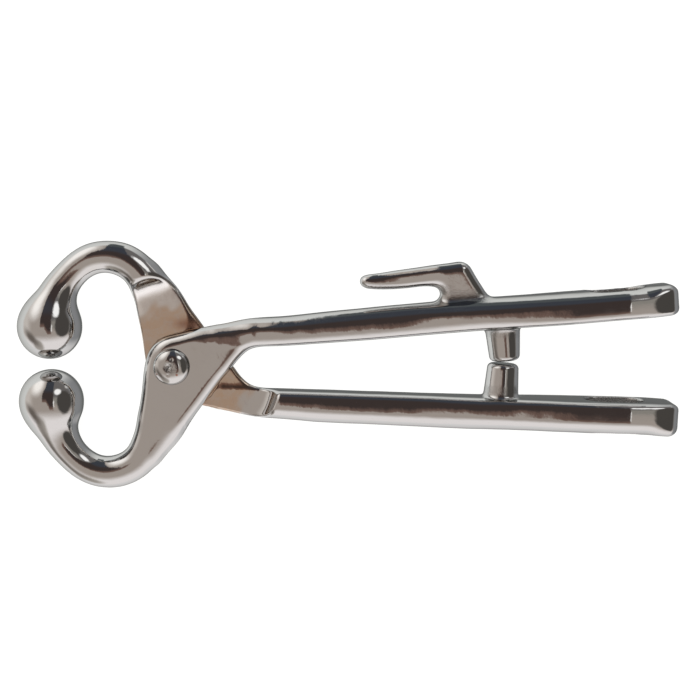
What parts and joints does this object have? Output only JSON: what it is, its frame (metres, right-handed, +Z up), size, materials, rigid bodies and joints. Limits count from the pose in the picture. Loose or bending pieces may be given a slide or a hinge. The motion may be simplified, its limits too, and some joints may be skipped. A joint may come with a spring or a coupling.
{
  "type": "cattle nose tongs",
  "caption": "Plated cast-iron tongs for leading cattle by the nose: ball-ended bowed jaws, a riveted lap joint, handles with rope eyes, a rope hook and facing stop pegs.",
  "frame": {"origin": "middle of the underside of the bounding box, with the tongs lying flat", "axes": "+X from the jaws to the handles' ends, +Y towards the handle with the hook, +Z up along the rivet's axis"},
  "size_m": [0.2199, 0.0828, 0.0213],
  "materials": {
    "lever_plating": "polished plating over a slightly wavy casting",
    "rivet_plating": "polished plating on a hammered head"
  },
  "bodies": {
    "rear_arm": {"rear_lever": "lever_plating", "pivot_rivet": "rivet_plating"},
    "front_arm": {"front_lever": "lever_plating"}
  },
  "joints": [
    {"name": "jaw_hinge", "type": "hinge", "parent": "rear_arm", "child": "front_arm", "pos_m": [-0.05803, 0.00025, 0.01065], "axis": [0, 0, 1], "range_deg": [0, 42]}
  ]
}
